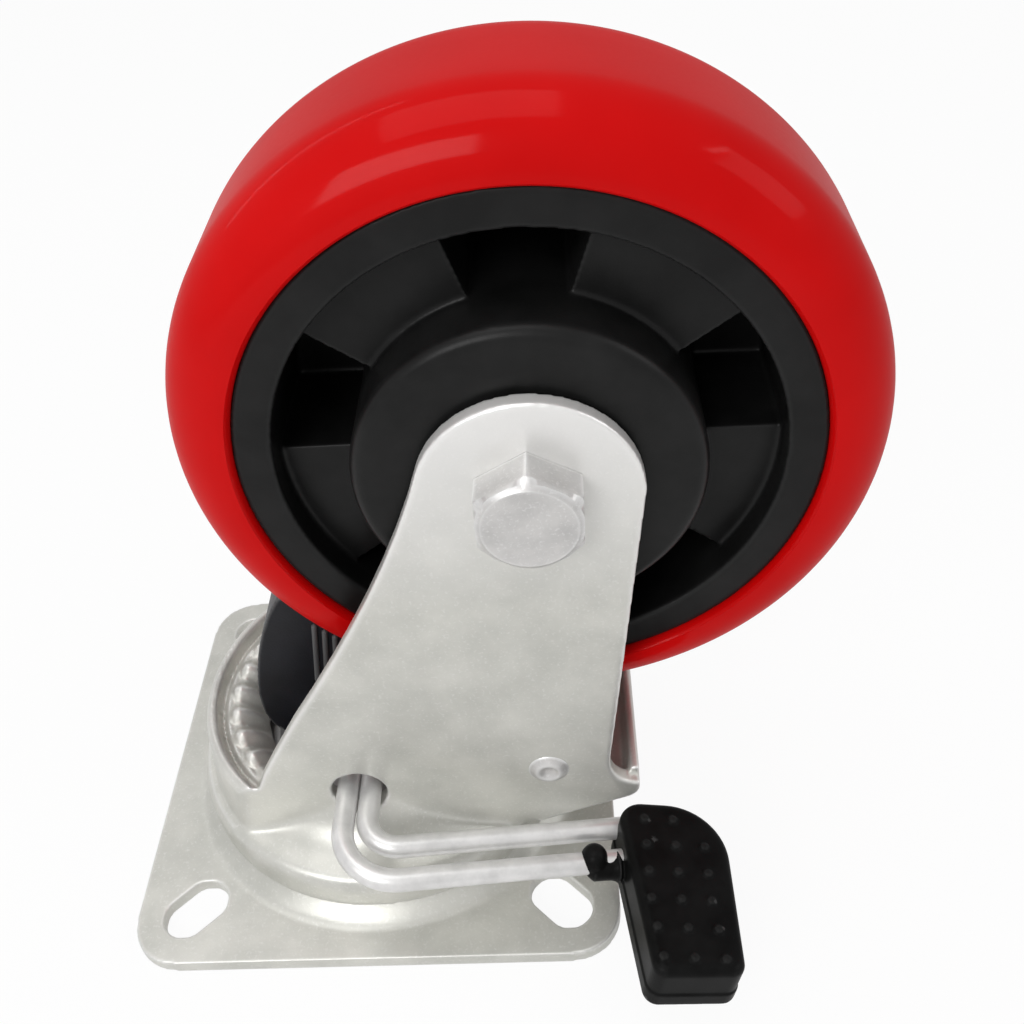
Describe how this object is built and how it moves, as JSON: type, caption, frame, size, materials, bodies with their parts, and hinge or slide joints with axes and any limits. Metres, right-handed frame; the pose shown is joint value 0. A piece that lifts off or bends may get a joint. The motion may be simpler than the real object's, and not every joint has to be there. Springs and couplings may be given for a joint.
{
  "type": "swivel caster with side brake",
  "caption": "Swivel plate caster with a moulded tread on a ribbed core, pressed steel fork, ball-race head and a side pedal that brakes the tread.",
  "frame": {"origin": "centre of the top plate's mounting face", "axes": "+Z from the plate to the wheel (the caster stands upside down on its plate), +X towards the side that the wheel trails to, pedal on the -Y side"},
  "size_m": [0.1845, 0.145, 0.204],
  "materials": {
    "zinc_plate": "satin zinc plating on pressed steel sheet",
    "zinc_fastener": "satin zinc plating on turned and forged steel",
    "zinc_wire": "bright zinc plating on drawn wire",
    "bearing_steel": "polished bearing steel",
    "red_tread": "glossy moulded polyurethane",
    "black_core": "semi-gloss moulded plastic",
    "black_nylon": "smooth moulded nylon",
    "black_rubber": "moulded rubber with raised studs"
  },
  "bodies": {
    "plate": {"top_plate": "zinc_plate", "king_pin": "zinc_plate", "main_balls": "bearing_steel", "lower_balls": "bearing_steel", "lower_race": "zinc_plate"},
    "fork": {"fork": "zinc_plate", "axle_bolt": "zinc_fastener", "axle_nut": "zinc_fastener", "axle_washer": "zinc_fastener", "axle_sleeve": "zinc_fastener", "hub_spacers": "zinc_fastener", "bearing_inner_rings": "bearing_steel", "cross_pin": "zinc_fastener"},
    "wheel": {"wheel_core": "black_core", "tread": "red_tread", "bearing_outer_rings": "bearing_steel", "bearing_balls": "bearing_steel", "bearing_shields": "bearing_steel"},
    "brake": {"brake_wire": "zinc_wire", "brake_cam": "black_nylon", "lever_washer": "zinc_fastener", "pedal_pad": "black_rubber"}
  },
  "joints": [
    {"name": "swivel", "type": "hinge", "parent": "plate", "child": "fork", "pos_m": [0, 0, 0.0109], "axis": [0, 0, 1], "continuous": true},
    {"name": "wheel_spin", "type": "hinge", "parent": "fork", "child": "wheel", "pos_m": [0.0465, 0, 0.129], "axis": [0, 1, 0], "continuous": true},
    {"name": "brake_lever", "type": "hinge", "parent": "fork", "child": "brake", "pos_m": [-0.0016, 0, 0.0343], "axis": [0, -1, 0], "range_deg": [0, 12]}
  ]
}
